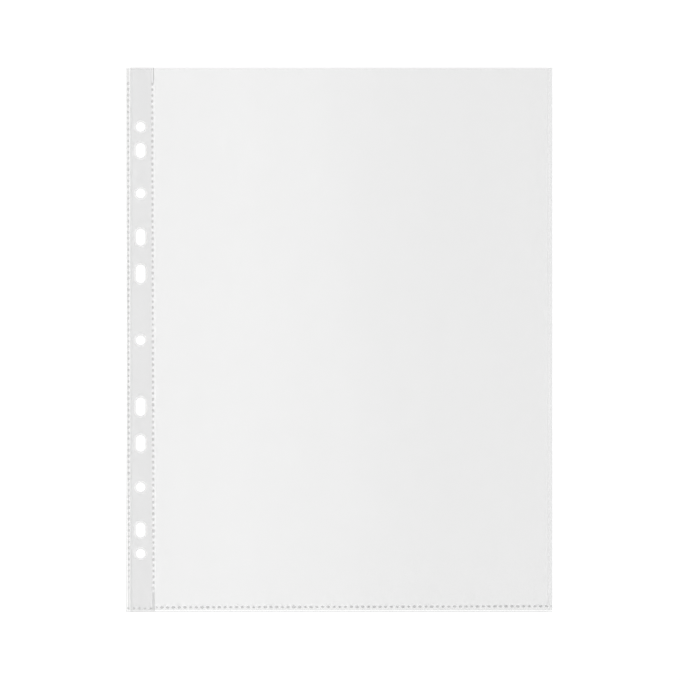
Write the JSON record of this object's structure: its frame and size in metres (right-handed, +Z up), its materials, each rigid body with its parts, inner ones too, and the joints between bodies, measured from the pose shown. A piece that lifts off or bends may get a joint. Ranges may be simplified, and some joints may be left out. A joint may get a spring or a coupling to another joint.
{
  "type": "punched plastic pocket",
  "caption": "Clear film pocket for A4 sheets, folded at one side, open at the top, with dotted welds and a punched reinforcing strip for ring binders.",
  "frame": {"origin": "middle of the pocket's underside, on the surface that it lies on", "axes": "+X from the punched margin to the folded side, +Y from the bottom weld to the open mouth, +Z up from the back film to the front film"},
  "size_m": [0.2396, 0.306, 0.0007],
  "materials": {
    "film": "clear embossed polypropylene film, slightly milky",
    "strip": "whitish translucent plastic, satin",
    "weld": "melted film, pressed into dots"
  },
  "bodies": {
    "punched_margin": {"back_margin": "film", "binding_strip": "strip", "front_margin": "film", "outer_weld": "weld", "inner_weld": "weld", "margin_end_weld": "weld"},
    "pocket": {"back_panel": "film", "side_fold": "film", "bottom_weld": "weld"},
    "front_film": {"front_panel": "film"}
  },
  "joints": [
    {"name": "page_turn", "type": "hinge", "parent": "punched_margin", "child": "pocket", "pos_m": [-0.1039, 0, 0.00017], "axis": [0, -1, 0], "range_deg": [0, 90]},
    {"name": "mouth_open", "type": "hinge", "parent": "pocket", "child": "front_film", "pos_m": [0, -0.1492, 0.00025], "axis": [1, 0, 0], "range_deg": [0, 4]}
  ]
}
